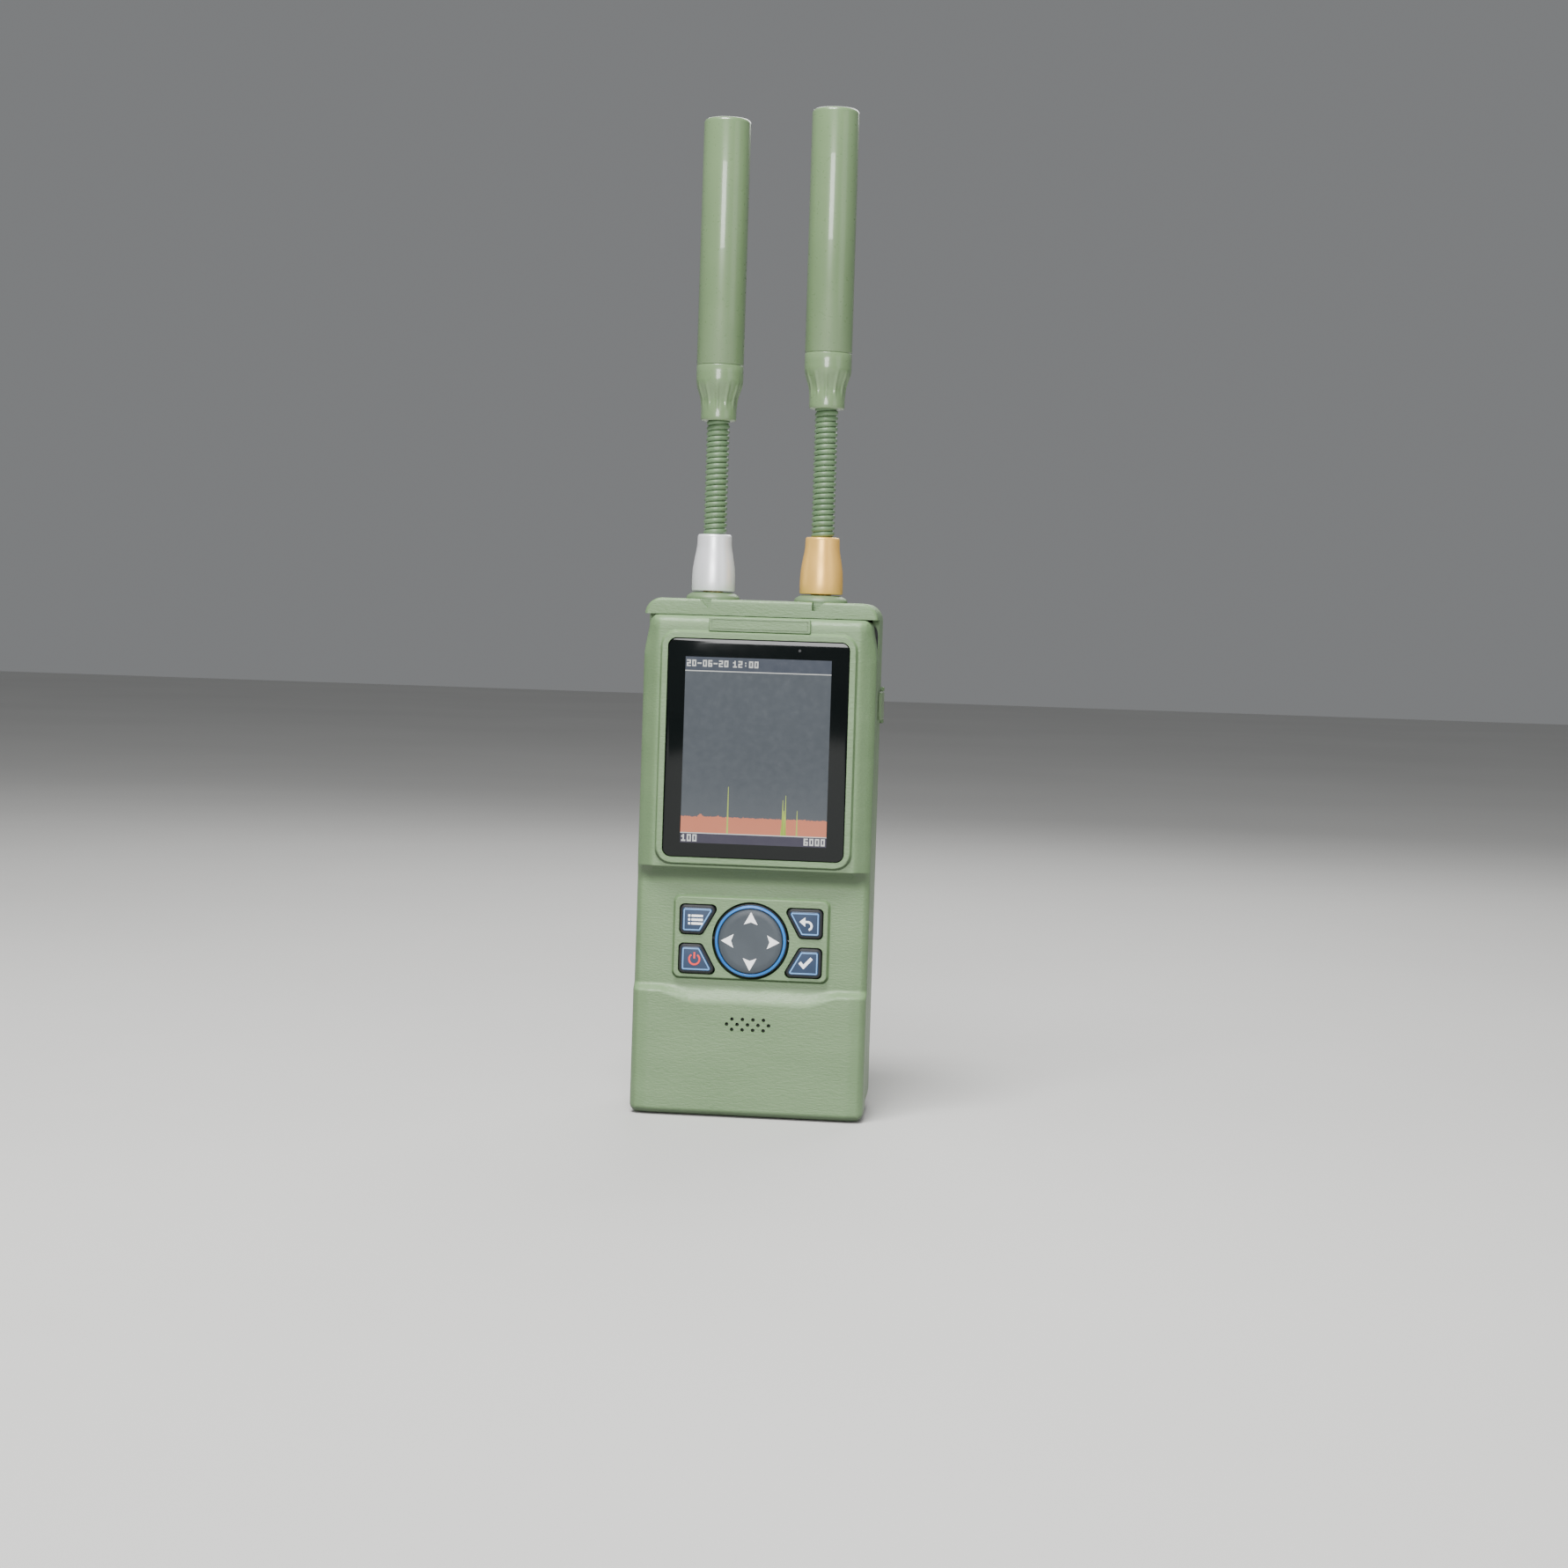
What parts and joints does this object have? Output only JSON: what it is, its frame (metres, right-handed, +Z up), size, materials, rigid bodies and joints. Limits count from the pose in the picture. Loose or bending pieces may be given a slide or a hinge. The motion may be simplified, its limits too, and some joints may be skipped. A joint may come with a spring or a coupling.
{
  "type": "handheld spectrum analyzer",
  "caption": "Handheld spectrum analyzer with a colour display, corner keys around a round direction pad, a speaker grille and screw-on antennas on flexible necks.",
  "frame": {"origin": "middle of the flat bottom, on the mid-plane of the body", "axes": "+Z up towards the antennas, the display faces -Y, +X to the viewer's right"},
  "size_m": [0.0712, 0.038, 0.304],
  "materials": {
    "olive_shell": "fine grained paint, satin",
    "olive_rubber": "matt",
    "olive_gloss": "semi-gloss",
    "olive_paint": "satin paint",
    "black_rubber": "matt",
    "cover_glass": "polished, black printed back",
    "display": "lit display",
    "flex_film": "satin film",
    "key_blue": "satin, printed symbols",
    "nav_grey": "satin, printed arrows",
    "steel": "brushed",
    "silver_nickel": "satin plated",
    "gold_plate": "satin plated",
    "brass": "machined",
    "circuit_board": "lacquered",
    "black_plastic": "moulded",
    "cell_wrap": "shrink wrap"
  },
  "bodies": {
    "case": {"front_shell": "olive_shell", "rear_shell": "olive_shell", "case_seal": "black_rubber", "case_screws": "steel", "nameplate": "olive_shell", "screen_glass": "cover_glass", "glass_tape": "black_rubber", "lcd_module": "display", "lcd_flex": "flex_film", "key_domes": "steel", "main_board": "circuit_board", "board_screws": "steel", "rf_board": "circuit_board", "rf_shield": "steel", "rf_screws": "steel", "board_link": "black_plastic", "speaker": "black_plastic", "speaker_mesh": "black_plastic", "battery_cells": "cell_wrap", "battery_holder": "black_plastic", "battery_contacts": "steel", "charge_board": "circuit_board", "usb_port": "steel", "port_pin": "steel", "collar_left": "olive_paint", "collar_right": "olive_paint", "sma_left": "brass", "sma_right": "brass", "sma_nuts": "steel"},
    "menu_button": {"menu_key": "key_blue"},
    "power_button": {"power_key": "key_blue"},
    "back_button": {"back_key": "key_blue"},
    "ok_button": {"ok_key": "key_blue"},
    "nav_ring": {"nav_gimbal": "steel"},
    "nav_button": {"nav_pad": "nav_grey"},
    "port_flap": {"port_cover": "olive_rubber"},
    "antenna_left_base": {"coupling_left": "silver_nickel", "neck_left_0": "olive_paint"},
    "antenna_left_link_1": {"neck_left_1": "olive_paint"},
    "antenna_left_link_2": {"neck_left_2": "olive_paint"},
    "antenna_left_link_3": {"neck_left_3": "olive_paint"},
    "antenna_left_tip": {"neck_left_4": "olive_paint", "boot_left": "olive_gloss", "barrel_left": "olive_gloss", "element_left": "circuit_board"},
    "antenna_right_base": {"coupling_right": "gold_plate", "neck_right_0": "olive_paint"},
    "antenna_right_link_1": {"neck_right_1": "olive_paint"},
    "antenna_right_link_2": {"neck_right_2": "olive_paint"},
    "antenna_right_link_3": {"neck_right_3": "olive_paint"},
    "antenna_right_tip": {"neck_right_4": "olive_paint", "boot_right": "olive_gloss", "barrel_right": "olive_gloss", "element_right": "circuit_board"}
  },
  "joints": [
    {"name": "menu_press", "type": "slide", "parent": "case", "child": "menu_button", "axis": [0, 1, 0], "range_m": [0, 0.0008], "stiffness_N_per_m": 400},
    {"name": "power_press", "type": "slide", "parent": "case", "child": "power_button", "axis": [0, 1, 0], "range_m": [0, 0.0008], "stiffness_N_per_m": 400},
    {"name": "back_press", "type": "slide", "parent": "case", "child": "back_button", "axis": [0, 1, 0], "range_m": [0, 0.0008], "stiffness_N_per_m": 400},
    {"name": "ok_press", "type": "slide", "parent": "case", "child": "ok_button", "axis": [0, 1, 0], "range_m": [0, 0.0008], "stiffness_N_per_m": 400},
    {"name": "nav_rock_up_down", "type": "hinge", "parent": "case", "child": "nav_ring", "pos_m": [0, -0.0117, 0.0524], "axis": [1, 0, 0], "range_deg": [-3, 3], "stiffness_Nm_per_rad": 0.08},
    {"name": "nav_rock_left_right", "type": "hinge", "parent": "nav_ring", "child": "nav_button", "pos_m": [0, -0.0117, 0.0524], "axis": [0, 0, 1], "range_deg": [-3, 3], "stiffness_Nm_per_rad": 0.08},
    {"name": "port_flap_hinge", "type": "hinge", "parent": "case", "child": "port_flap", "pos_m": [0.03525, 0.014, 0.1231], "axis": [0, 0, 1], "range_deg": [0, 105]},
    {"name": "antenna_left_turn", "type": "hinge", "parent": "case", "child": "antenna_left_base", "pos_m": [-0.0165, 0.002, 0.16], "axis": [0, 0, 1], "continuous": true},
    {"name": "antenna_left_bend_1", "type": "hinge", "parent": "antenna_left_base", "child": "antenna_left_link_1", "pos_m": [-0.0165, 0.002, 0.17801], "axis": [1, 0, 0], "range_deg": [-14, 14]},
    {"name": "antenna_left_bend_2", "type": "hinge", "parent": "antenna_left_link_1", "child": "antenna_left_link_2", "pos_m": [-0.0165, 0.002, 0.18636], "axis": [1, 0, 0], "range_deg": [-14, 14]},
    {"name": "antenna_left_bend_3", "type": "hinge", "parent": "antenna_left_link_2", "child": "antenna_left_link_3", "pos_m": [-0.0165, 0.002, 0.19471], "axis": [1, 0, 0], "range_deg": [-14, 14]},
    {"name": "antenna_left_bend_4", "type": "hinge", "parent": "antenna_left_link_3", "child": "antenna_left_tip", "pos_m": [-0.0165, 0.002, 0.20306], "axis": [1, 0, 0], "range_deg": [-14, 14]},
    {"name": "antenna_right_turn", "type": "hinge", "parent": "case", "child": "antenna_right_base", "pos_m": [0.0165, 0.002, 0.16], "axis": [0, 0, 1], "continuous": true},
    {"name": "antenna_right_bend_1", "type": "hinge", "parent": "antenna_right_base", "child": "antenna_right_link_1", "pos_m": [0.0165, 0.002, 0.17968], "axis": [1, 0, 0], "range_deg": [-14, 14]},
    {"name": "antenna_right_bend_2", "type": "hinge", "parent": "antenna_right_link_1", "child": "antenna_right_link_2", "pos_m": [0.0165, 0.002, 0.18803], "axis": [1, 0, 0], "range_deg": [-14, 14]},
    {"name": "antenna_right_bend_3", "type": "hinge", "parent": "antenna_right_link_2", "child": "antenna_right_link_3", "pos_m": [0.0165, 0.002, 0.19638], "axis": [1, 0, 0], "range_deg": [-14, 14]},
    {"name": "antenna_right_bend_4", "type": "hinge", "parent": "antenna_right_link_3", "child": "antenna_right_tip", "pos_m": [0.0165, 0.002, 0.20473], "axis": [1, 0, 0], "range_deg": [-14, 14]}
  ]
}
